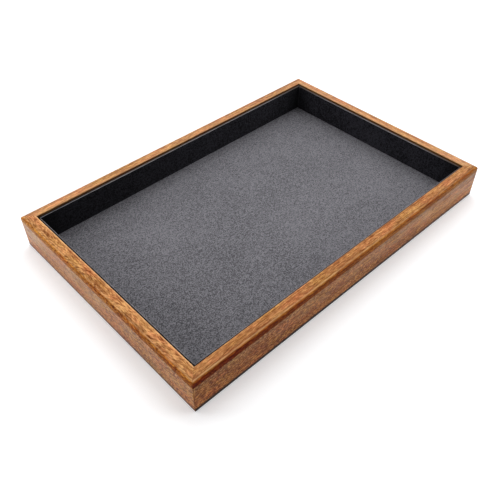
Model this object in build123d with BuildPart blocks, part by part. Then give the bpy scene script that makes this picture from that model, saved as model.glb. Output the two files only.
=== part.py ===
from build123d import *
import os

# A lined dice tray. Four hardwood walls are mitred round a plywood base, a cloth covered board
# lies on the base as the rolling floor, and four cloth covered strips line the walls above it.
# Millimetres. The origin is the middle of the underside, X runs along the long side, Z is up.

# The frame as a whole
tray_length = 305.0
tray_width = 204.0
tray_height = 30.0

# The wall's section, the same on all four sides
wall_thickness = 9.0
roundover_radius = 3.5
inner_arris_radius = 0.6
foot_chamfer = 0.5
corner_radius = 0.5

# The base panel, let into a rebate on the inside of the walls' underside
base_thickness = 3.0
rebate_depth = 4.5
base_gap = 0.25
base_chamfer = 0.3

# A loose tenon hidden in each mitre, a plain strip glued into two round-ended mortises
tenon_thickness = 2.0
tenon_height = 17.0
tenon_reach = 3.0
tenon_inset = 7.5
tenon_middle = 15.0
mortise_end_gap = 0.2

# The floor panel, a thin board with its cloth turned in underneath
cloth_thickness = 0.4
floor_board_thickness = 1.0
floor_gap = 0.3
floor_turn_in = 12.0

# The wall lining, strips of board with their cloth turned over the top and bottom edges
lining_board_thickness = 1.4
lining_turn_in = 8.0
lining_drop = 1.8
lining_end_gap = 0.1
lining_edge_radius = 0.6

# The well between the bare walls, and the heights that the panels take up in it
well_length = tray_length - 2 * wall_thickness
well_width = tray_width - 2 * wall_thickness
floor_panel_thickness = floor_board_thickness + 2 * cloth_thickness
floor_top = base_thickness + floor_panel_thickness
lining_thickness = lining_board_thickness + 2 * cloth_thickness
lining_height = tray_height - lining_drop - floor_top

# Each side of the tray: the direction that it faces, how far out its outer face stands,
# the full length of its wall, and the length of its lining. The long linings run from wall
# to wall, and the short ones fit between them.
long_lining = well_length - 2 * lining_end_gap
short_lining = well_width - 2 * lining_thickness - 2 * lining_end_gap
sides = {
    "front": (Vector(0, -1, 0), tray_width / 2, tray_length, long_lining),
    "back": (Vector(0, 1, 0), tray_width / 2, tray_length, long_lining),
    "left": (Vector(-1, 0, 0), tray_length / 2, tray_width, short_lining),
    "right": (Vector(1, 0, 0), tray_length / 2, tray_width, short_lining),
}

# Each corner, as the signs of its X and Y
corners = {
    "front_left": (-1, -1),
    "front_right": (1, -1),
    "back_right": (1, 1),
    "back_left": (-1, 1),
}

os.makedirs("parts", exist_ok=True)


def save(piece, name):
    """Label a finished piece and write it under its own name."""
    piece.part.label = name
    export_step(piece.part, f"parts/{name}.step")


def section_plane(outward, distance, height=0.0):
    """A side's section at the middle of its length: x runs inwards from distance, y runs up."""
    inward = outward * -1
    return Plane(
        origin=outward * distance + Vector(0, 0, height),
        x_dir=inward,
        z_dir=inward.cross(Vector(0, 0, 1)),
    )


def mitre_plane(corner):
    """The joint face at a corner: x runs inwards along the mitre, y runs up."""
    x_sign, y_sign = corners[corner]
    return Plane(
        origin=(x_sign * tray_length / 2, y_sign * tray_width / 2, 0),
        x_dir=(-x_sign, -y_sign, 0),
        z_dir=(-y_sign, x_sign, 0),
    )


def corner_at(sketch, x, y):
    """The corner of a section that lies nearest to a point."""
    return sketch.vertices().sort_by_distance((x, y, 0))[0]


# Walls: one moulded length for each side, rounded over along the outer top edge and rebated
# below for the base, then mitred at both ends and mortised for the tenons.
for side, (outward, distance, wall_length, _) in sides.items():
    plane = section_plane(outward, distance)
    with BuildPart() as wall:
        with BuildSketch(plane) as moulding:
            Rectangle(wall_thickness, tray_height, align=(Align.MIN, Align.MIN))
            with Locations((wall_thickness, 0)):
                Rectangle(
                    rebate_depth,
                    base_thickness,
                    align=(Align.MAX, Align.MIN),
                    mode=Mode.SUBTRACT,
                )
            fillet(corner_at(moulding, 0, tray_height), roundover_radius)
            fillet(corner_at(moulding, wall_thickness, tray_height), inner_arris_radius)
            chamfer(corner_at(moulding, 0, 0), foot_chamfer)
        extrude(amount=wall_length / 2, both=True)
        for corner in corners:
            if side not in corner:
                continue
            mitre = mitre_plane(corner)
            wall_side = mitre.to_local_coords(plane.origin).Z
            split(bisect_by=mitre, keep=Keep.TOP if wall_side > 0 else Keep.BOTTOM)
            with BuildSketch(mitre):
                with Locations((tenon_inset, tenon_middle)):
                    SlotOverall(tenon_height + tenon_thickness, tenon_thickness, rotation=90)
            extrude(amount=tenon_reach + mortise_end_gap, both=True, mode=Mode.SUBTRACT)
        # The upright corners of the glued frame are eased, so each wall keeps to that outline
        with BuildSketch(Plane.XY):
            RectangleRounded(tray_length, tray_width, corner_radius)
        extrude(amount=tray_height, mode=Mode.INTERSECT)
    save(wall, f"{side}_wall")

# Tenons: one across each mitre, reaching equally far into both walls
for corner in corners:
    with BuildPart() as tenon:
        with BuildSketch(mitre_plane(corner)):
            with Locations((tenon_inset, tenon_middle)):
                Rectangle(tenon_thickness, tenon_height)
        extrude(amount=tenon_reach, both=True)
    save(tenon, f"mitre_tenon_{corner}")

# Base: glued up into the rebate, flush with the underside of the walls
base_inset = wall_thickness - rebate_depth + base_gap
with BuildPart() as base_panel:
    with BuildSketch(Plane.XY):
        Rectangle(tray_length - 2 * base_inset, tray_width - 2 * base_inset)
    extrude(amount=base_thickness)
    chamfer(base_panel.faces().sort_by(Axis.Z).first.edges(), base_chamfer)
save(base_panel, "base_panel")

# Floor: a thin board, with cloth over its top and edges and turned in under its margin
floor_length = well_length - 2 * floor_gap
floor_width = well_width - 2 * floor_gap
board_length = floor_length - 2 * cloth_thickness
board_width = floor_width - 2 * cloth_thickness
with BuildPart() as floor_board:
    with BuildSketch(Plane.XY.offset(base_thickness + cloth_thickness)):
        Rectangle(board_length, board_width)
    extrude(amount=floor_board_thickness)
save(floor_board, "floor_board")

with BuildPart() as floor_cloth:
    with BuildSketch(Plane.XY.offset(base_thickness)):
        Rectangle(floor_length, floor_width)
    extrude(amount=floor_panel_thickness)
    with BuildSketch(Plane.XY.offset(base_thickness)):
        Rectangle(floor_length - 2 * floor_turn_in, floor_width - 2 * floor_turn_in)
    extrude(amount=cloth_thickness, mode=Mode.SUBTRACT)
    with BuildSketch(Plane.XY.offset(base_thickness + cloth_thickness)):
        Rectangle(board_length, board_width)
    extrude(amount=floor_board_thickness, mode=Mode.SUBTRACT)
save(floor_cloth, "floor_cloth")

# Linings: they stand on the floor panel's margin and are glued to the walls, so the floor
# is held down. The cloth leaves a bare stretch of board between its two turned margins.
lining_board_height = lining_height - 2 * cloth_thickness
bare_height = lining_height - 2 * lining_turn_in
for side, (outward, distance, _, lining_length) in sides.items():
    plane = section_plane(outward, distance - wall_thickness, floor_top)
    with BuildPart() as lining_board:
        with BuildSketch(plane):
            with Locations((cloth_thickness, cloth_thickness)):
                Rectangle(
                    lining_board_thickness,
                    lining_board_height,
                    align=(Align.MIN, Align.MIN),
                )
        extrude(amount=lining_length / 2, both=True)
    save(lining_board, f"lining_board_{side}")

    with BuildPart() as lining_cloth:
        with BuildSketch(plane) as cover:
            Rectangle(lining_thickness, lining_height, align=(Align.MIN, Align.MIN))
            fillet(corner_at(cover, 0, lining_height), lining_edge_radius)
            fillet(corner_at(cover, lining_thickness, lining_height), lining_edge_radius)
            with Locations((cloth_thickness, cloth_thickness)):
                Rectangle(
                    lining_board_thickness,
                    lining_board_height,
                    align=(Align.MIN, Align.MIN),
                    mode=Mode.SUBTRACT,
                )
            with Locations((0, lining_turn_in)):
                Rectangle(
                    cloth_thickness,
                    bare_height,
                    align=(Align.MIN, Align.MIN),
                    mode=Mode.SUBTRACT,
                )
        extrude(amount=lining_length / 2, both=True)
    save(lining_cloth, f"lining_cloth_{side}")
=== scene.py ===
from math import cos, pi, radians, sin

import bpy
import numpy as np
from mathutils import Matrix, Vector


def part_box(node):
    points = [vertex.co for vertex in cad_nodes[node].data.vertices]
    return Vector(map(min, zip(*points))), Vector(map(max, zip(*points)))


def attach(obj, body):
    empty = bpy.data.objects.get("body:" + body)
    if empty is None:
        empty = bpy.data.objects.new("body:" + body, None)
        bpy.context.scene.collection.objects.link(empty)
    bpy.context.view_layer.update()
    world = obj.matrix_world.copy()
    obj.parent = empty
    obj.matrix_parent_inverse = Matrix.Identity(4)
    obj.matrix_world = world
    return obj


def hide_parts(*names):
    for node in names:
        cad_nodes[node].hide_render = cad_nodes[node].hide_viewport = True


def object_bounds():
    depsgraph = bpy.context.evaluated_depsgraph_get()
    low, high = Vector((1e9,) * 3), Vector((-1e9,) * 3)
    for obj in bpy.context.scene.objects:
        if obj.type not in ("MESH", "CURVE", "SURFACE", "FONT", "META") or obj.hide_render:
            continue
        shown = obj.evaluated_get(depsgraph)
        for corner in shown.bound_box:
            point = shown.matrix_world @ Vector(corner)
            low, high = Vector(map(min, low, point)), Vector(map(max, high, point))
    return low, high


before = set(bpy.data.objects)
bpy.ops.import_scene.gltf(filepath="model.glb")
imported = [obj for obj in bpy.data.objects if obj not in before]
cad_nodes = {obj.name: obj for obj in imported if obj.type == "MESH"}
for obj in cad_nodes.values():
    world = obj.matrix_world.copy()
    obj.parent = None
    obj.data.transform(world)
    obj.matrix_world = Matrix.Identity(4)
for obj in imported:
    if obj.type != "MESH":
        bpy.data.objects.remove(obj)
cad_low, cad_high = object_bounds()

# Base panel. A sheet of 3 mm birch plywood glued up into the rebate under the walls, flush with
# their underside. Only its lower face veneer ever shows: pale, close-grained, sanded and bare.
veneer_pale = (0.62, 0.455, 0.29, 1.0)
veneer_dark = (0.40, 0.26, 0.14, 1.0)
veneer_grain = (9.0, 260.0, 260.0)
veneer_fibre = (60.0, 2600.0, 2600.0)
veneer_bump = 0.00005


def put(tree, kind, inputs, **settings):
    """Adds one shader node. Each input takes a plain value or the socket that feeds it."""
    made = tree.nodes.new("ShaderNode" + kind)
    for name, value in settings.items():
        setattr(made, name, value)
    for name, value in inputs.items():
        if isinstance(value, bpy.types.NodeSocket):
            tree.links.new(value, made.inputs[name])
        else:
            made.inputs[name].default_value = value
    return made


def sum_of(tree, base, *parts):
    """base plus weight times (value minus a half) for each (value, weight) pair."""
    total = base
    for value, weight in parts:
        centred = put(tree, "Math", {0: value, 1: 0.5}, operation="SUBTRACT").outputs[0]
        scaled = {0: centred, 1: weight, 2: total}
        total = put(tree, "Math", scaled, operation="MULTIPLY_ADD").outputs[0]
    return total


def noise(tree, place, scales, detail=2.0, roughness=0.5):
    """Soft noise at a place in metres, with its own number of lumps a metre along each axis."""
    stretched = put(tree, "Mapping", {"Vector": place, "Scale": scales}).outputs[0]
    lumps = {"Vector": stretched, "Scale": 1.0, "Detail": detail, "Roughness": roughness}
    return put(tree, "TexNoise", lumps).outputs["Fac"]


def ramp(tree, value, *stops):
    """A smooth run of colours through (position, colour) stops."""
    made = put(tree, "ValToRGB", {"Fac": value})
    band = made.color_ramp
    while len(band.elements) < len(stops):
        band.elements.new(0.5)
    for element, (position, colour) in zip(band.elements, stops):
        element.position = position
        element.color = colour
    return made.outputs["Color"]


def share(tree, value, low, high):
    """0 where value is low, 1 where it is high, and an eased step between the two."""
    limits = {"Value": value, "From Min": low, "From Max": high}
    return put(tree, "MapRange", limits, interpolation_type="SMOOTHSTEP").outputs["Result"]


def blend(tree, factor, first, second, way="MIX"):
    """The first colour turned into the second one by factor, or multiplied by it."""
    made = put(tree, "Mix", {"Factor": factor}, data_type="RGBA", blend_type=way)
    for socket, colour in ((made.inputs[6], first), (made.inputs[7], second)):
        if isinstance(colour, bpy.types.NodeSocket):
            tree.links.new(colour, socket)
        else:
            socket.default_value = colour
    return made.outputs[2]


def new_finish(name):
    """An empty material, its node tree and the place that its patterns read."""
    made = bpy.data.materials.new(name)
    made.use_nodes = True
    made.node_tree.nodes.clear()
    place = put(made.node_tree, "TexCoord", {}).outputs["Object"]
    return made, made.node_tree, place


def close_finish(tree, height, depth, **surface):
    """Ends a material: its bump, depth metres deep, and the surface with the given inputs."""
    bump = put(tree, "Bump", {"Height": height, "Distance": depth, "Strength": 1.0})
    inputs = {name.replace("_", " "): value for name, value in surface.items()}
    inputs["Normal"] = bump.outputs["Normal"]
    shader = put(tree, "BsdfPrincipled", inputs)
    put(tree, "OutputMaterial", {"Surface": shader.outputs["BSDF"]})


def birch_veneer():
    """Pale veneer: the weighted sum of long soft grain and fine fibres, from dark to pale."""
    made, tree, place = new_finish("birch_veneer")
    grain = noise(tree, place, veneer_grain, 3.0)
    fibre = noise(tree, place, veneer_fibre, 2.0)
    tone = sum_of(tree, 0.5, (grain, 1.3), (fibre, 0.7))
    colour = ramp(tree, tone, (0.2, veneer_dark), (0.8, veneer_pale))
    rough = sum_of(tree, 0.62, (fibre, 0.2))
    close_finish(
        tree,
        fibre,
        veneer_bump,
        Base_Color=colour,
        Roughness=rough,
        Specular_IOR_Level=0.3,
    )
    return made


def finish_node(name, finish):
    """Gives a CAD node its finish in place of the plain one that it was packed with."""
    for slot in cad_nodes[name].material_slots:
        slot.material = finish


finish_node("base_panel", birch_veneer())

# Walls. Four lengths of an open-pored, orange-brown hardwood, planed square, rounded over along
# the outer top edge, mitred and glued, and given a satin oil that leaves the pores open. Each is
# its own stick: the two long ones are plain and straight, and the left one is strongly figured.
wall_thickness = 0.009
wall_height = cad_high.z
wood_deep = (0.19, 0.052, 0.010, 1.0)
wood_middle = (0.455, 0.188, 0.060, 1.0)
wood_pale = (0.76, 0.395, 0.143, 1.0)
red_tint = (1.05, 0.88, 0.92, 1.0)
gold_tint = (1.0, 1.06, 0.90, 1.0)
pore_brown = (0.10, 0.030, 0.008, 1.0)
# A darker, more orange tint of the round-over
round_over_tint = (0.98, 0.76, 0.34, 1.0)
# Painted shade along the round-over's lower part, also the dark end grain of its wedges
band_shade_and_endgrain_tint = (0.43, 0.155, 0.05, 1.0)
shade_tint = (0.78, 0.81, 0.88, 1.0)
# A painted sheen on the inner half of the far walls' tops
sheen_gold = (0.78, 0.52, 0.30, 1.0)
# Painted highlights along the lip and the inner arris
highlight_gold = (0.80, 0.47, 0.215, 1.0)
# Painted shade on the inner face above the lining
inner_shade_brown = (0.030, 0.012, 0.005, 1.0)
# A painted contact shadow along the foot
foot_shadow_brown = (0.030, 0.011, 0.005, 1.0)
# A painted grey reflection on the upper part of the outer faces
reflection_grey = (0.62, 0.47, 0.34, 1.0)

# The layers of the grain: lumps a metre along the stick and across it, detail and roughness
grain_layers = {
    "broad": ((8.0, 120.0, 120.0), 1.0, 0.5),
    "hue": ((50.0, 160.0, 160.0), 2.0, 0.5),
    "streak": ((14.0, 420.0, 420.0), 2.0, 0.5),
    "fibre": ((40.0, 1250.0, 1250.0), 3.0, 0.6),
    "dash": ((230.0, 1250.0, 1250.0), 2.0, 0.6),
    "grit": ((480.0, 1100.0, 1100.0), 2.0, 0.6),
    "pore": ((300.0, 1700.0, 1700.0), 1.0, 0.5),
    "thread": ((260.0, 5200.0, 5200.0), 2.0, 0.6),
}
drift_lumps = (7.0, 45.0, 45.0)
drift_reach = (0.0, 0.0022, 0.0022)
ring_spacing = 0.0034
ring_distortion = 1.2
pith = (0.0, 0.055, 0.062)
fleck_slants = (21, -25)
fleck_lumps = (170.0, 900.0, 900.0)
cloud_lumps = (60.0, 120.0, 120.0)
figure_lumps = (35.0, 50.0, 50.0)
# Lumps of the patches in the painted highlights
highlight_patch_lumps = (160.0, 160.0, 160.0)
pore_depth = 0.00009

# Where on a wall's section each change of colour starts and where it is full, in metres: in from
# the outer face, and then up from the table
face_skin = (0.0004, 0.0001)
# The painted shade along the round-over, then the round-over's darker tint
band_shade_reach = (0.0012, 0.0005)
round_tint_reach = (0.0021, 0.0012)
fleck_raggedness = 0.003
dash_raggedness = 0.0012
wedge_reach = (0.0034, 0.0016)
outer_half = (0.0058, 0.0042)
inner_half = (0.0042, 0.0062)
lip_inset = 0.0018
lip_width = 0.00075
# The painted grey reflection, up the outer face
reflection_height = (0.005, 0.016)
# The painted light and shade of the outer face, below the round-over
face_light_height = (0.024, 0.018)
top_skin = (0.029, 0.0295)
band_foot = 0.0250
band_ease = 0.0009
band_step = 0.0008
band_slope = 0.002
# The painted contact shadow, from the foot's corner
foot_shadow_reach = 0.0037
arris_reach = 0.0013
# The painted shade on the inner face above the lining
inner_shade_skin = (0.0003, 0.0001)
inner_shade_top = (0.0004, 0.0008)
glue_line = 0.00014
stick_ends = {"From Min": -0.15, "From Max": 0.15}

# What makes each wall its own stick. A pair goes evenly along it, from its value 150 mm left of
# the tray's middle, or nearer than it, to its value 150 mm right of it, or farther.
#   turn: brings its length to X; cut: where on the plank it was cut
#   ribbon, figure, speck: how strong its straight ribbons are, its cross figure, and the short
#       specks on its outer face
#   lift: how much paler it is than the middle of the four
#   band, lip, face_reflection, foot: how dark the painted shade along its round-over is, how
#       pale the painted highlight along the lip above it is, how strong the painted grey
#       reflection on its outer face is, and how dark the painted contact shadow along its foot is
#   arris, shade, painted_sheen: how pale the painted highlight along its inner arris is, how dull
#       the outer half of its top is, and how pale the painted sheen on the inner half is
#   gloss: how much the oil shines; face: the tints of its outer face at its two ends, painted
#       light and shade, darker at the near end of the front and left walls and paler at the far
#       end
wall_cuts = {
    "front_wall": dict(
        turn=radians(0.5),
        cut=(0.31, 0.013, 0.021),
        ribbon=1.0,
        figure=(0.12, 0.12),
        speck=(0.8, 0.0),
        lift=-0.045,
        band=(1.1, 0.0),
        lip=(0.85, 0.2),
        face_reflection=(0.02, 0.24),
        foot=(1.25, 0.75),
        arris=0.12,
        shade=0.3,
        painted_sheen=0.0,
        gloss=0.05,
        face=((1.02, 0.80, 0.59, 1.0), (1.26, 1.13, 0.87, 1.0)),
    ),
    "back_wall": dict(
        turn=radians(-0.4),
        cut=(0.94, 0.047, 0.008),
        ribbon=0.9,
        figure=(0.12, 0.12),
        speck=(0.0, 0.0),
        lift=0.0,
        band=(0.3, 0.3),
        lip=(0.3, 0.3),
        face_reflection=(0.0, 0.0),
        foot=(0.7, 0.7),
        arris=0.3,
        shade=0.9,
        painted_sheen=0.08,
        gloss=0.08,
        face=((1.1, 1.0, 0.9, 1.0), (1.1, 1.0, 0.9, 1.0)),
    ),
    "left_wall": dict(
        turn=radians(-90.8),
        cut=(1.72, 0.031, 0.035),
        ribbon=0.6,
        figure=(1.1, 0.6),
        speck=(0.85, -0.2),
        lift=0.05,
        band=(0.62, -0.1),
        lip=(0.5, 0.1),
        face_reflection=(0.0, 0.30),
        foot=(0.65, 0.55),
        arris=0.8,
        shade=0.3,
        painted_sheen=0.0,
        gloss=0.05,
        face=((0.93, 0.81, 0.64, 1.0), (1.01, 0.89, 0.71, 1.0)),
    ),
    "right_wall": dict(
        turn=radians(-89.5),
        cut=(2.43, 0.022, 0.054),
        ribbon=0.9,
        figure=(0.12, 0.12),
        speck=(0.0, 0.0),
        lift=0.035,
        band=(0.3, 0.3),
        lip=(0.3, 0.3),
        face_reflection=(0.0, 0.0),
        foot=(0.7, 0.7),
        arris=0.3,
        shade=0.3,
        painted_sheen=0.16,
        gloss=0.08,
        face=((1.1, 1.0, 0.9, 1.0), (1.1, 1.0, 0.9, 1.0)),
    ),
}


def product(tree, first, *others):
    """The product of two or more values."""
    result = first
    for other in others:
        result = put(tree, "Math", {0: result, 1: other}, operation="MULTIPLY").outputs[0]
    return result


def apart(tree, first, second):
    """How far two values are from each other, whichever is larger."""
    gap = put(tree, "Math", {0: first, 1: second}, operation="SUBTRACT").outputs[0]
    return put(tree, "Math", {0: gap}, operation="ABSOLUTE").outputs[0]


def edge_distance(tree, across, up, at_across, at_up):
    """How far a point of a wall's section is from one of the section's corners: the root of the
    two squared distances added up."""
    offsets = []
    for value, at in ((across, at_across), (up, at_up)):
        gap = apart(tree, value, at)
        offsets.append(product(tree, gap, gap))
    both = put(tree, "Math", {0: offsets[0], 1: offsets[1]}).outputs[0]
    return put(tree, "Math", {0: both}, operation="SQRT").outputs[0]


def insets_from_outside(tree, place):
    """How far a point is inside the tray's end faces, and inside its long faces: half the tray's
    size less the point's distance from the middle. Gives its height as well."""
    axes = put(tree, "SeparateXYZ", {"Vector": place}).outputs
    insets = []
    for axis, far in ((axes["X"], cad_high.x), (axes["Y"], cad_high.y)):
        from_middle = put(tree, "Math", {0: axis}, operation="ABSOLUTE").outputs[0]
        inset = put(tree, "Math", {0: far, 1: from_middle}, operation="SUBTRACT")
        insets.append(inset.outputs[0])
    return insets, axes["Z"]


def along_stick(tree, run, ends):
    """A strength that goes evenly from a stick's first end to its last, kept from 0 to 1."""
    first, last = ends
    even = put(tree, "MapRange", {"Value": run, "To Min": first, "To Max": last, **stick_ends})
    return put(tree, "Clamp", {"Value": even.outputs["Result"]}).outputs["Result"]


def stick_places(tree, place, wall):
    """Where a point is: on the plank, along the stick, in from the tray's outside, and up from
    the table. Then three shares, each from 0 to 1: of the outer face, of what is above the lower
    limit of the round-over, and of the mitre's glue line."""
    turned = {"Vector": place, "Rotation": (0.0, 0.0, wall["turn"]), "Location": wall["cut"]}
    board = put(tree, "Mapping", turned).outputs[0]
    axes = put(tree, "SeparateXYZ", {"Vector": place}).outputs
    insets, height = insets_from_outside(tree, place)
    if abs(wall["turn"]) > 1.0:
        run, inset = axes["Y"], insets[0]
    else:
        run, inset = axes["X"], insets[1]
    on_face = share(tree, inset, *face_skin)
    joint = share(tree, apart(tree, *insets), 2 * glue_line, glue_line / 2)
    above = share(tree, height, band_foot - band_ease / 2, band_foot + band_ease / 2)
    return dict(
        place=place,
        board=board,
        run=run,
        inset=inset,
        height=height,
        on_face=on_face,
        above=above,
        joint=joint,
    )


def stick_grain(tree, board):
    """The layers of a stick's grain. A slow noise bends the plank's places across the stick, and
    each layer is noise stretched along them. The growth rings are a saw wave of the distance from
    a distant pith, whose texture turns 20 radians for each unit of its scale."""
    drift = put(tree, "Mapping", {"Vector": board, "Scale": drift_lumps}).outputs[0]
    drift = put(tree, "TexNoise", {"Vector": drift, "Scale": 1.0, "Detail": 2.0}).outputs["Color"]
    sway = {0: drift, 1: drift_reach, 2: board}
    bent = put(tree, "VectorMath", sway, operation="MULTIPLY_ADD").outputs[0]
    grain = {}
    for layer, (lumps, detail, roughness) in grain_layers.items():
        grain[layer] = noise(tree, bent, lumps, detail, roughness)
    about_pith = put(tree, "Mapping", {"Vector": bent, "Location": pith}).outputs[0]
    rings = {"Vector": about_pith, "Scale": 2 * pi / (20 * ring_spacing)}
    rings.update({"Distortion": ring_distortion, "Detail": 1.0})
    rings = put(tree, "TexWave", rings, wave_type="RINGS", rings_direction="X", wave_profile="SAW")
    grain["ring"] = rings.outputs["Fac"]
    grain["open_pore"] = share(tree, grain["pore"], 0.56, 0.66)
    return grain


def feather_figure(tree, board):
    """Short flecks that lie across the grain to one side or the other, in patches: two slanted
    noises, and a slower one that chooses between them. Gives the flecks and the slower noise."""
    slants = []
    for angle in fleck_slants:
        slant = {"Vector": board, "Rotation": (0.0, 0.0, radians(angle))}
        slant = put(tree, "Mapping", slant).outputs[0]
        slants.append(noise(tree, slant, fleck_lumps, 2.0, 0.6))
    cloud = noise(tree, board, cloud_lumps, 1.0)
    turned = share(tree, cloud, 0.44, 0.56)
    chosen = {0: turned, 2: slants[0], 3: slants[1]}
    return put(tree, "Mix", chosen, data_type="FLOAT").outputs[0], cloud


def grain_colour(tree, stick, grain, wall):
    """The planed wood: a tone, which is the weighted sum of its layers and its cross figure, runs
    from deep to pale, is redder in some patches and more golden in others, and is dark in the
    open pores."""
    fleck, cloud, figure = stick["fleck"], stick["cloud"], stick["figure"]
    figured = share(tree, noise(tree, stick["board"], figure_lumps, 1.0), 0.36, 0.56)
    figured = product(tree, sum_of(tree, 0.75, (figured, 0.6)), 2.5, figure)
    specks = along_stick(tree, stick["run"], wall["speck"])
    tone = sum_of(
        tree,
        0.5 + wall["lift"],
        (grain["fibre"], 0.9),
        (grain["streak"], 0.5),
        (grain["dash"], 1.3),
        (grain["thread"], 0.9),
        (grain["grit"], product(tree, specks, stick["on_face"], 4.8)),
        (grain["broad"], 0.5 * wall["ribbon"]),
        (grain["ring"], 0.06),
        (fleck, figured),
        (cloud, sum_of(tree, 0.4, (figure, 0.2))),
    )
    colour = ramp(tree, tone, (0.1, wood_deep), (0.5, wood_middle), (0.9, wood_pale))
    colour = blend(tree, share(tree, grain["hue"], 0.48, 0.66), colour, red_tint, "MULTIPLY")
    colour = blend(tree, share(tree, grain["hue"], 0.50, 0.32), colour, gold_tint, "MULTIPLY")
    return blend(tree, product(tree, grain["open_pore"], 0.45), colour, pore_brown)


def face_light_and_tone(tree, colour, stick, wall):
    """The outer face tinted below the round-over with painted light and shade, with a painted grey
    reflection in its upper part, and the top duller in its outer half and with a painted sheen on
    its inner half."""
    run, inset, height = stick["run"], stick["inset"], stick["height"]
    way = put(tree, "MapRange", {"Value": run, **stick_ends}).outputs["Result"]
    # Painted light and shade on the outer face below the round-over, from one end to the other
    face_light = product(tree, stick["on_face"], share(tree, height, *face_light_height))
    colour = blend(tree, face_light, colour, blend(tree, way, *wall["face"]), "MULTIPLY")
    # A painted grey reflection in the upper part of the outer face
    reflected = product(tree, share(tree, height, *reflection_height), stick["on_face"])
    reflected = product(tree, reflected, sum_of(tree, 1.0, (stick["cloud"], 2.0)))
    reflected = product(tree, reflected, along_stick(tree, run, wall["face_reflection"]))
    colour = blend(tree, reflected, colour, reflection_grey)
    outer = product(tree, share(tree, inset, *outer_half), wall["shade"])
    colour = blend(tree, outer, colour, shade_tint, "MULTIPLY")
    on_top = product(tree, share(tree, inset, *inner_half), share(tree, height, *top_skin))
    # A painted sheen on the inner half of the top
    return blend(tree, product(tree, on_top, wall["painted_sheen"]), colour, sheen_gold)


def round_over_tone_and_shade(tree, colour, stick, grain, wall):
    """The round-over, tinted darker and more orange, with painted shade along its lower part and
    dark wedges of end grain above. The flecks make its edge ragged."""
    fleck, figure, inset, above = (stick[key] for key in ("fleck", "figure", "inset", "above"))
    flecked = product(tree, figure, fleck_raggedness)
    ragged = sum_of(tree, inset, (fleck, flecked), (grain["dash"], dash_raggedness))
    # A darker, more orange tint of the round-over
    round_tinted = product(tree, share(tree, ragged, *round_tint_reach), above)
    colour = blend(tree, round_tinted, colour, round_over_tint, "MULTIPLY")
    # Painted shade along the lower part of the round-over
    band_shade = product(tree, share(tree, ragged, *band_shade_reach), above)
    band_shade = product(tree, band_shade, along_stick(tree, stick["run"], wall["band"]))
    colour = blend(tree, band_shade, colour, band_shade_and_endgrain_tint, "MULTIPLY")
    wedge = product(tree, share(tree, fleck, 0.5, 0.36), share(tree, inset, *wedge_reach))
    wedge = product(tree, wedge, above, 0.45, figure)
    return blend(tree, wedge, colour, band_shade_and_endgrain_tint, "MULTIPLY")


def painted_edge_highlights(tree, stick, wall):
    """Painted highlights, in patches: along the lip above the round-over, and along the inner
    arris."""
    inset, height = stick["inset"], stick["height"]
    lip = share(tree, apart(tree, inset, lip_inset), lip_width, 0.0)
    lip = product(tree, lip, stick["above"], along_stick(tree, stick["run"], wall["lip"]))
    arris = edge_distance(tree, inset, height, wall_thickness, wall_height)
    arris = product(tree, share(tree, arris, arris_reach, arris_reach / 3), wall["arris"])
    edge_highlight = put(tree, "Math", {0: lip, 1: arris}, operation="MAXIMUM").outputs[0]
    patchy = share(tree, noise(tree, stick["place"], highlight_patch_lumps, 3.0), 0.3, 0.65)
    return product(tree, edge_highlight, sum_of(tree, 0.75, (patchy, 0.5)))


def dark_lines(tree, colour, stick, wall):
    """A painted contact shadow along the foot's chamfer by the table, painted shade on the inner
    face above the lining, and the thin glue line of each mitre."""
    inset, height = stick["inset"], stick["height"]
    # A painted contact shadow along the foot
    low = share(tree, edge_distance(tree, inset, height, 0.0, 0.0), foot_shadow_reach, 0.7 * foot_shadow_reach)
    low = product(tree, low, along_stick(tree, stick["run"], wall["foot"]))
    colour = blend(tree, low, colour, foot_shadow_brown)
    # Painted shade on the inner face above the lining
    near, full = inner_shade_skin
    inner = share(tree, inset, wall_thickness - near, wall_thickness - full)
    near, full = inner_shade_top
    inner = product(tree, inner, share(tree, height, wall_height - near, wall_height - full))
    colour = blend(tree, product(tree, inner, 0.75), colour, inner_shade_brown)
    return blend(tree, product(tree, stick["joint"], 0.6), colour, pore_brown)


def oiled_hardwood(name, wall):
    """One wall's wood: the colour of its grain, with its face tints of painted light, reflection
    and sheen, its round-over's tint and painted shade, its painted highlights, and its painted
    shadows and glue lines laid over it in turn. Its bump is the fibres less the pores, and a step
    along the lower limit of the round-over, where the cutter left a shallow line."""
    made, tree, place = new_finish(name)
    stick = stick_places(tree, place, wall)
    stick["fleck"], stick["cloud"] = feather_figure(tree, stick["board"])
    stick["figure"] = along_stick(tree, stick["run"], wall["figure"])
    grain = stick_grain(tree, stick["board"])
    colour = grain_colour(tree, stick, grain, wall)
    colour = face_light_and_tone(tree, colour, stick, wall)
    colour = round_over_tone_and_shade(tree, colour, stick, grain, wall)
    edge_highlight = painted_edge_highlights(tree, stick, wall)
    # Painted highlights along the lip and the inner arris
    colour = blend(tree, edge_highlight, colour, highlight_gold)
    colour = dark_lines(tree, colour, stick, wall)

    fibre, open_pore = grain["fibre"], grain["open_pore"]
    rough = sum_of(tree, 0.34, (fibre, 0.12), (open_pore, 0.18), (edge_highlight, 0.08))
    surface = sum_of(tree, 0.5, (fibre, 0.35), (grain["thread"], 0.3), (open_pore, -0.7))
    cut_line = {"Value": stick["height"], "From Min": band_foot}
    cut_line.update({"From Max": band_foot + band_slope, "To Max": -band_step / pore_depth})
    cut_line = put(tree, "MapRange", cut_line).outputs["Result"]
    surface = put(tree, "Math", {0: surface, 1: cut_line}).outputs[0]
    close_finish(
        tree,
        surface,
        pore_depth,
        Base_Color=colour,
        Roughness=rough,
        Specular_IOR_Level=wall["gloss"],
    )
    return made


for name, wall in wall_cuts.items():
    finish_node(name, oiled_hardwood(name + "_wood", wall))

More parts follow.
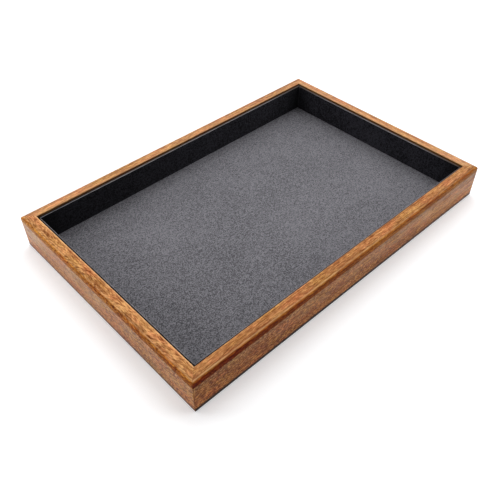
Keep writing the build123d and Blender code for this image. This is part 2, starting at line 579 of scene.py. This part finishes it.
# Tenons. Loose strips of pale beech glued across each mitre in round-ended mortises. The
# closed joint hides them, so their finish is sawn wood with short brown ray flecks.
beech_pale = (0.60, 0.40, 0.24, 1.0)
beech_fleck = (0.36, 0.20, 0.10, 1.0)
beech_grain = (700.0, 700.0, 60.0)
beech_rays = (1600.0, 1600.0, 380.0)
beech_bump = 0.00005


def sawn_beech():
    """Even pale wood of fine upright grain, dark where a shorter noise is high, in its rays."""
    made, tree, place = new_finish("sawn_beech")
    grain = noise(tree, place, beech_grain, 2.0)
    rays = noise(tree, place, beech_rays, 1.0)
    colour = blend(tree, share(tree, rays, 0.58, 0.68), beech_pale, beech_fleck)
    height = sum_of(tree, 0.5, (grain, 1.0))
    rough = sum_of(tree, 0.7, (grain, 0.2))
    close_finish(tree, height, beech_bump, Base_Color=colour, Roughness=rough)
    return made


beech = sawn_beech()
for name in cad_nodes:
    if name.startswith("mitre_tenon"):
        finish_node(name, beech)

# Boards. Stiff grey bookbinder's board, 1 mm thick under the floor cloth and 1.4 mm behind the
# wall cloths, cut with a knife. The cloth covers both, so only a sliver shows from behind.
board_grey = (0.33, 0.31, 0.27, 1.0)
board_dark = (0.20, 0.185, 0.16, 1.0)
board_clouds = (260.0, 260.0, 260.0)
board_pulp = (2400.0, 2400.0, 2400.0)
board_bump = 0.00004


def grey_board():
    """Pressed paper pulp: the weighted sum of soft clouds and fine lumps, from dark to pale."""
    made, tree, place = new_finish("grey_board")
    cloud = noise(tree, place, board_clouds, 3.0)
    pulp = noise(tree, place, board_pulp, 2.0)
    tone = sum_of(tree, 0.5, (cloud, 1.2), (pulp, 1.0))
    colour = ramp(tree, tone, (0.2, board_dark), (0.8, board_grey))
    rough = sum_of(tree, 0.9, (pulp, 0.15))
    close_finish(
        tree,
        pulp,
        board_bump,
        Base_Color=colour,
        Roughness=rough,
        Specular_IOR_Level=0.2,
    )
    return made


pulp_board = grey_board()
for name in cad_nodes:
    if "board" in name:
        finish_node(name, pulp_board)

# Floor cloth. One piece of mid-grey, short-napped suede cloth stretched over the floor board and
# glued down, with 12 mm turned in under each margin and mitred at the corners.
cloth_thickness = 0.0004
floor_turn_in = 0.012
floor_fold = 0.0005
floor_margin = 0.009
floor_step = 0.003
floor_settle = 0.00005
floor_nap_deep = (0.034, 0.033, 0.037, 1.0)
floor_nap_pale = (0.193, 0.188, 0.207, 1.0)
floor_waves = (0.11, 0.074, 0.052, 0.039)
floor_flat_edge = 0.02
nap_clumps = (0.37, 0.43, 0.4)
nap_hairs = (3.1, 2.3, 2.7)
nap_patches = (60.0, 85.0, 90.0)
nap_sweeps = (12.0, 16.0, 20.0)
nap_bump = 0.00018


def ripple(across, along, waves, seed):
    """Gentle unevenness from 0 to 1: the mean of a few sines of random heading and phase."""
    random = np.random.default_rng(seed)
    total = np.zeros(np.broadcast(across, along).shape)
    for wave in waves:
        heading, phase = random.uniform(0, 2 * pi, 2)
        total += np.sin((across * cos(heading) + along * sin(heading)) * 2 * pi / wave + phase)
    return 0.5 + 0.5 * total / len(waves)


def grid_faces(rows, columns, ring=False):
    """The quads of a grid of points numbered row by row: each point, the next one in its row and
    the two after them in the next row. A ring joins the end of each row to its start."""
    row = np.arange(rows - 1)[:, None] * columns
    column = np.arange(columns if ring else columns - 1)[None, :]
    after = (column + 1) % columns
    quads = [row + column, row + after, row + columns + after, row + columns + column]
    return np.stack(quads, axis=-1).reshape(-1, 4)


def cloth_piece(name, points, faces, finish):
    """A mesh of the cloth's outer side, thickened inwards to the cloth's own thickness."""
    mesh = bpy.data.meshes.new(name)
    mesh.from_pydata(points.reshape(-1, 3).tolist(), [], faces.tolist())
    mesh.polygons.foreach_set("use_smooth", np.ones(len(mesh.polygons), bool))
    mesh.materials.append(finish)
    piece = bpy.data.objects.new(name, mesh)
    bpy.context.scene.collection.objects.link(piece)
    body = piece.modifiers.new("cloth_thickness", "SOLIDIFY")
    body.thickness = cloth_thickness
    body.offset = -1.0
    return piece


def arc(centre, radius, start, end, count=7):
    """Points of a round fold in a section: the centre plus the radius times the cosine and sine
    of angles in even steps, in degrees."""
    angle = np.radians(np.linspace(start, end, count))
    turned = np.stack([np.cos(angle), np.sin(angle)], axis=-1)
    return np.array(centre) + radius * turned


def napped_cloth(name, deep, pale, grain, clumped, brushed, nap_size, gloss, sheen, sheen_tint):
    """Short-napped suede cloth. Its tone is the weighted sum of a fine nap, its clumps and stray
    hairs, and broad brushed patches, and the nap stands up in the bump."""
    made, tree, place = new_finish(name)
    lumps = 1 / nap_size
    nap = noise(tree, place, (lumps, lumps, lumps), 2.0, 0.6)
    clump = noise(tree, place, tuple(part * lumps for part in nap_clumps), 2.0, 0.6)
    hair = noise(tree, place, tuple(part * lumps for part in nap_hairs), 1.0)
    patch = noise(tree, place, nap_patches, 3.0, 0.55)
    sweep = noise(tree, place, nap_sweeps, 1.0)
    fine = ((nap, grain), (clump, clumped), (hair, 0.5 * grain))
    tone = sum_of(tree, 0.5, *fine, (patch, brushed), (sweep, brushed))
    colour = ramp(tree, tone, (0.15, deep), (0.85, pale))
    height = sum_of(tree, 0.5, (nap, 1.0), (hair, 0.5))
    rough = sum_of(tree, 0.95, (nap, 0.15))
    close_finish(
        tree,
        height,
        nap_bump,
        Base_Color=colour,
        Roughness=rough,
        Specular_IOR_Level=gloss,
        Sheen_Weight=sheen,
        Sheen_Roughness=0.5,
        Sheen_Tint=sheen_tint,
    )
    return made


def wrapped_floor():
    """A profile of inset and height carried round the panel as shrinking rectangles: in under
    the margin, round both folds and over the top. A grid of the same spacing closes the top."""
    low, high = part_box("floor_cloth")
    half = np.array([high.x, high.y])
    lower_fold = arc((floor_fold, low.z + floor_fold), floor_fold, 270, 180)
    upper_fold = arc((floor_fold, high.z - floor_fold), floor_fold, 180, 90)
    top_run = np.linspace(floor_fold, floor_margin, 5)[1:]
    profile = np.concatenate(
        [
            [(floor_turn_in, low.z)],
            lower_fold,
            upper_fold,
            np.stack([top_run, np.full(4, high.z)], axis=-1),
        ]
    )
    across, along = (int(n) for n in np.round(2 * (half - floor_margin) / floor_step))
    tick_x, tick_y = np.linspace(-1, 1, across + 1), np.linspace(-1, 1, along + 1)
    sides = [
        np.stack([tick_x[:-1], np.full(across, -1.0)], axis=-1),
        np.stack([np.full(along, 1.0), tick_y[:-1]], axis=-1),
        np.stack([tick_x[:0:-1], np.full(across, 1.0)], axis=-1),
        np.stack([np.full(along, -1.0), tick_y[:0:-1]], axis=-1),
    ]
    outline = np.concatenate(sides)
    level = np.broadcast_to(outline, (len(profile),) + outline.shape)
    level = level * (half - profile[:, None, :1])
    height = np.broadcast_to(profile[:, None, 1:], level.shape[:2] + (1,))
    skirt = np.concatenate([level, height], axis=-1)
    grid_x, grid_y = np.meshgrid(tick_x[1:-1], tick_y[1:-1])
    inner = np.stack([grid_x, grid_y], axis=-1) * (half - floor_margin)
    to_edge = (half - floor_margin - np.abs(inner)).min(axis=-1)
    settle = floor_settle * np.clip(to_edge / floor_flat_edge, 0, 1)
    settle = settle * ripple(inner[..., 0], inner[..., 1], floor_waves, 5)
    top = np.concatenate([inner, (high.z - settle)[..., None]], axis=-1)
    return skirt, top, across, along


floor_skirt, floor_top, floor_across, floor_along = wrapped_floor()
skirt_rows, skirt_columns = floor_skirt.shape[:2]
rim = (skirt_rows - 1) * skirt_columns
number = np.empty((floor_along + 1, floor_across + 1), int)
number[0, :-1] = rim + np.arange(floor_across)
number[:-1, -1] = rim + floor_across + np.arange(floor_along)
number[-1, :0:-1] = rim + floor_across + floor_along + np.arange(floor_across)
number[:0:-1, 0] = rim + 2 * floor_across + floor_along + np.arange(floor_along)
inside = np.arange((floor_across - 1) * (floor_along - 1))
number[1:-1, 1:-1] = floor_skirt.size // 3 + inside.reshape(floor_along - 1, floor_across - 1)
top_faces = np.stack([number[:-1, :-1], number[:-1, 1:], number[1:, 1:], number[1:, :-1]], -1)
floor_suede = napped_cloth(
    "floor_suede_nap",
    floor_nap_deep,
    floor_nap_pale,
    grain=2.4,
    clumped=0.55,
    brushed=0.26,
    nap_size=0.0009,
    gloss=0.1,
    sheen=0.6,
    sheen_tint=(0.75, 0.75, 0.8, 1.0),
)
floor_cover = cloth_piece(
    "floor_suede_cover",
    np.concatenate([floor_skirt.reshape(-1, 3), floor_top.reshape(-1, 3)]),
    np.concatenate([grid_faces(skirt_rows, skirt_columns, ring=True), top_faces.reshape(-1, 4)]),
    floor_suede,
)
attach(floor_cover, "root")
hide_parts("floor_cloth")

# Wall linings. Four strips of board covered in near-black suede cloth, turned 8 mm in at the
# back along both edges. They stand on the floor's margin, glued to the walls, the long ones
# from wall to wall and the short ones between them.
lining_turn_in = 0.008
lining_top_fold = 0.0006
lining_foot_fold = 0.0005
lining_step = 0.003
lining_sag = 0.0001
lining_nap_deep = (0.001, 0.001, 0.0015, 1.0)
lining_nap_pale = (0.029, 0.028, 0.035, 1.0)
# A pale painted highlight along the fold of the lining's top
lining_fold_highlight = (0.27, 0.255, 0.27, 1.0)
lining_top_brown = (0.075, 0.056, 0.047, 1.0)
lining_fold_roughness = 0.5
# Painted shade towards the corners and towards the left end
corner_shade_tint = (0.35, 0.35, 0.35, 1.0)
end_shade_tint = (0.6, 0.6, 0.6, 1.0)
face_waves = (0.09, 0.06, 0.037, 0.028)
top_waves = (0.07, 0.045)

# Where the cloth's look changes, in metres: in from the tray's corner, and along its length
corner_shadow = (0.032, 0.013)
end_shadow = (0.08, -0.15)
brown_top_reach = (-0.14, -0.04)
dim_corner = (0.06, 0.014)
dim_end = (0.0, 0.09)
# Lumps of the patches in the painted highlight on the fold
fold_highlight_patches = (90.0, 90.0, 90.0)


def lining_profile(depth, low, high):
    """The cloth's section as (distance from the wall, height): up from the lower turn-in's end,
    round the foot, up the face, over the top and down the back to the upper turn-in's end."""
    foot, top = lining_foot_fold, lining_top_fold
    face = np.linspace(low + foot, high - top, 9)[1:-1]
    return np.concatenate(
        [
            [(0.0, low + lining_turn_in)],
            arc((foot, low + foot), foot, 180, 270),
            arc((depth - foot, low + foot), foot, 270, 360),
            np.stack([np.full(len(face), depth), face], axis=-1),
            arc((depth - top, high - top), top, 0, 90),
            arc((top, high - top), top, 90, 180),
            [(0.0, high - lining_turn_in)],
        ]
    )


def lining_strip(side, seed):
    """The section carried along one wall, its face moved in and its top moved down by the sag
    times a gentle ripple."""
    low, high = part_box("lining_cloth_" + side)
    size = high - low
    along_x = size.x > size.y
    length, depth = (size.x, size.y) if along_x else (size.y, size.x)
    profile = lining_profile(depth, low.z, high.z)
    count = round(length / lining_step) + 1
    along = np.linspace(0, length, count)[:, None]
    distance, height = profile[None, :, 0], profile[None, :, 1]
    dip = ripple(height, along, face_waves, seed)
    on_face = np.clip(distance / depth, 0, 1) ** 2
    up_high = np.clip((height - low.z) / (high.z - low.z), 0, 1) ** 4
    distance = distance - lining_sag * on_face * dip
    height = height - lining_sag * up_high * ripple(0 * height, along, top_waves, seed + 1)
    along = np.broadcast_to(along, distance.shape)
    if side == "front":
        points = (high.x - along, low.y + distance, height)
    elif side == "back":
        points = (low.x + along, high.y - distance, height)
    elif side == "left":
        points = (low.x + distance, low.y + along, height)
    else:
        points = (high.x - distance, high.y - along, height)
    points = np.stack(points, axis=-1)
    return points, length, depth, size.z


def lining_suede():
    """The black cloth, with painted shade towards the tray's corners and its left end. It is brown
    along its flat top, and over the fold its nap is smoother and carries a pale painted highlight,
    dimmed near the right-hand corners."""
    made = napped_cloth(
        "lining_suede_nap",
        lining_nap_deep,
        lining_nap_pale,
        grain=2.4,
        clumped=1.0,
        brushed=0.5,
        nap_size=0.0014,
        gloss=0.08,
        sheen=0.06,
        sheen_tint=(0.6, 0.6, 0.66, 1.0),
    )
    tree = made.node_tree
    surface = next(n for n in tree.nodes if n.type == "BSDF_PRINCIPLED")
    nap = surface.inputs["Base Color"].links[0].from_socket
    nap_rough = surface.inputs["Roughness"].links[0].from_socket
    place = next(n for n in tree.nodes if n.type == "TEX_COORD").outputs["Object"]
    insets, height = insets_from_outside(tree, place)
    inset = put(tree, "Math", {0: insets[0], 1: insets[1]}, operation="MINIMUM").outputs[0]
    corner = put(tree, "Math", {0: insets[0], 1: insets[1]}, operation="MAXIMUM").outputs[0]
    along = put(tree, "SeparateXYZ", {"Vector": place}).outputs["X"]
    low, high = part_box("lining_cloth_front")
    edge = wall_thickness + high.y - low.y
    fold = lining_top_fold

    # Painted shade towards the tray's corners and its left end
    nap = blend(tree, share(tree, corner, *corner_shadow), nap, corner_shade_tint, "MULTIPLY")
    nap = blend(tree, share(tree, along, *end_shadow), nap, end_shade_tint, "MULTIPLY")
    flat = share(tree, height, high.z - 0.4 * fold, high.z - 0.1 * fold)
    # Brown along the flat top, from a little way along the length
    nap = blend(tree, product(tree, flat, share(tree, along, *brown_top_reach)), nap, lining_top_brown)

    # A pale painted highlight along the fold, dimmed near the right-hand corners
    fold_highlight = share(tree, height, high.z - 0.55 * fold, high.z - 0.2 * fold)
    inner = share(tree, inset, edge - 1.3 * fold, edge - 0.9 * fold)
    dim = product(tree, share(tree, corner, *dim_corner), share(tree, along, *dim_end))
    lit = put(tree, "Math", {0: 1.0, 1: dim}, operation="SUBTRACT").outputs[0]
    uneven = share(tree, noise(tree, place, fold_highlight_patches, 3.0), 0.3, 0.7)
    fold_highlight = product(tree, fold_highlight, inner, lit, sum_of(tree, 0.75, (uneven, 0.5)))
    nap = blend(tree, fold_highlight, nap, lining_fold_highlight)
    rough = {0: fold_highlight, 2: nap_rough, 3: lining_fold_roughness}
    rough = put(tree, "Mix", rough, data_type="FLOAT").outputs[0]
    tree.links.new(nap, surface.inputs["Base Color"])
    tree.links.new(rough, surface.inputs["Roughness"])
    return made


black_suede = lining_suede()
for seed, side in enumerate(("front", "back", "left", "right")):
    points, length, depth, tall = lining_strip(side, 20 + 2 * seed)
    lining_cover = cloth_piece(
        "lining_suede_" + side, points, grid_faces(*points.shape[:2])[:, ::-1], black_suede
    )
    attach(lining_cover, "root")
    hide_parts("lining_cloth_" + side)

# Table and room. A sheet of white paper that runs out of sight, with soft square lamps hung
# above it and round all but the near corner, in a white room that adds only a little light.
table_reach = 3.0
table_drop = 0.00005
table_white = (0.795, 0.80, 0.815, 1.0)
table_lift = 0.33
table_near = 0.35
table_far = 1.1
room_level = 0.02


def seen(tree):
    """1 for a ray from the camera and for one that a gloss or a glass sends on, and 0 for light
    that falls on the tray."""
    ray = put(tree, "LightPath", {}).outputs
    either = ray["Is Camera Ray"]
    for kind in ("Is Glossy Ray", "Is Transmission Ray"):
        either = put(tree, "Math", {0: either, 1: ray[kind]}, operation="MAXIMUM").outputs[0]
    return either


def white_table():
    """White paper that is seen a little brighter than it is, and plain white away from the tray.
    It keeps the tray's shadow."""
    made, tree, place = new_finish("white_table")
    away = put(tree, "VectorMath", {0: place}, operation="LENGTH").outputs["Value"]
    lift = {"Value": away, "From Min": table_near, "From Max": table_far, "To Min": table_lift}
    lift = put(tree, "MapRange", lift).outputs["Result"]
    paper = put(tree, "BsdfDiffuse", {"Color": table_white})
    lift = {"Color": (1, 1, 1, 1), "Strength": product(tree, seen(tree), lift)}
    lift = put(tree, "Emission", lift)
    both = put(tree, "AddShader", {0: paper.outputs[0], 1: lift.outputs[0]})
    put(tree, "OutputMaterial", {"Surface": both.outputs[0]})
    return made


table_mesh = bpy.data.meshes.new("table_top")
table_corners = np.array([(-1, -1, 0), (1, -1, 0), (1, 1, 0), (-1, 1, 0)]) * table_reach
table_corners[:, 2] = -table_drop
table_mesh.from_pydata(table_corners.tolist(), [], [(0, 1, 2, 3)])
table_mesh.materials.append(white_table())
table_top = bpy.data.objects.new("table_top", table_mesh)
bpy.context.scene.collection.objects.link(table_top)


def soft_lamp(name, place, size, power, mirrored):
    """A square soft lamp that hangs at a place and points at the middle of the tray. Where
    it isn't mirrored, the wood's gloss doesn't show it."""
    data = bpy.data.lights.new(name, "AREA")
    data.size = size
    data.energy = power
    lamp = bpy.data.objects.new(name, data)
    lamp.location = place
    lamp.rotation_euler = Vector(place).to_track_quat("Z", "Y").to_euler()
    lamp.visible_camera = False
    lamp.visible_glossy = mirrored
    bpy.context.scene.collection.objects.link(lamp)


# Each lamp: its compass heading from +Y and its height above the table, both in degrees, how far
# away it is, its width, its power, and whether the wood's gloss shows it
soft_lamps = (
    (0, 25, 0.9, 0.45, 1.1, True),
    (45, 25, 0.9, 0.45, 0.6, True),
    (90, 25, 0.9, 0.45, 1.8, True),
    (135, 25, 0.9, 0.45, 1.2, False),
    (270, 25, 0.9, 0.45, 1.4, True),
    (315, 25, 0.9, 0.45, 2.0, False),
    (0, 50, 1.4, 0.7, 1.2, True),
    (45, 50, 1.4, 0.7, 3.0, True),
    (135, 50, 1.4, 0.7, 4.1, True),
    (315, 50, 1.4, 0.7, 2.0, True),
    (0, 70, 1.4, 0.7, 2.8, True),
    (45, 70, 1.4, 0.7, 2.9, False),
    (90, 70, 1.4, 0.7, 2.9, True),
)
for heading, rise, away, width, power, mirrored in soft_lamps:
    turn, tilt = radians(heading), radians(rise)
    place = Vector((sin(turn) * cos(tilt), cos(turn) * cos(tilt), sin(tilt))) * away
    soft_lamp(f"lamp_{heading}_{rise}", place, width, power, mirrored)

room = bpy.data.worlds.new("white_room")
room.use_nodes = True
room_tree = room.node_tree
room_tree.nodes.clear()
level = {"Factor": seen(room_tree), 2: room_level, 3: 1.0}
level = put(room_tree, "Mix", level, data_type="FLOAT").outputs[0]
backdrop = put(room_tree, "Background", {"Color": (1, 1, 1, 1), "Strength": level})
put(room_tree, "OutputWorld", {"Surface": backdrop.outputs[0]})
bpy.context.scene.world = room

# Camera. A normal lens that looks down at the tray over its near left corner, from about half a
# metre.
sensor_width = 36.0
lens = 43.572
azimuth = radians(-43.175)
elevation = radians(44.473)
roll = radians(-0.241)
distance = 0.47136
aim = Vector((-0.03101, -0.02191, 0.0))
backward = Vector((sin(azimuth) * cos(elevation), -cos(azimuth) * cos(elevation), sin(elevation)))
rightward = Vector((cos(azimuth), sin(azimuth), 0.0))
upward = backward.cross(rightward)
view = bpy.data.cameras.new("view")
view.sensor_width = sensor_width
view.lens = lens
view.clip_start = 0.01
camera = bpy.data.objects.new("camera", view)
axes = (
    rightward * cos(roll) + upward * sin(roll),
    upward * cos(roll) - rightward * sin(roll),
    backward,
)
camera.matrix_world = Matrix.Translation(aim + backward * distance) @ (
    Matrix(axes).transposed().to_4x4()
)
bpy.context.scene.collection.objects.link(camera)
bpy.context.scene.camera = camera
bpy.context.scene.view_settings.view_transform = "Standard"
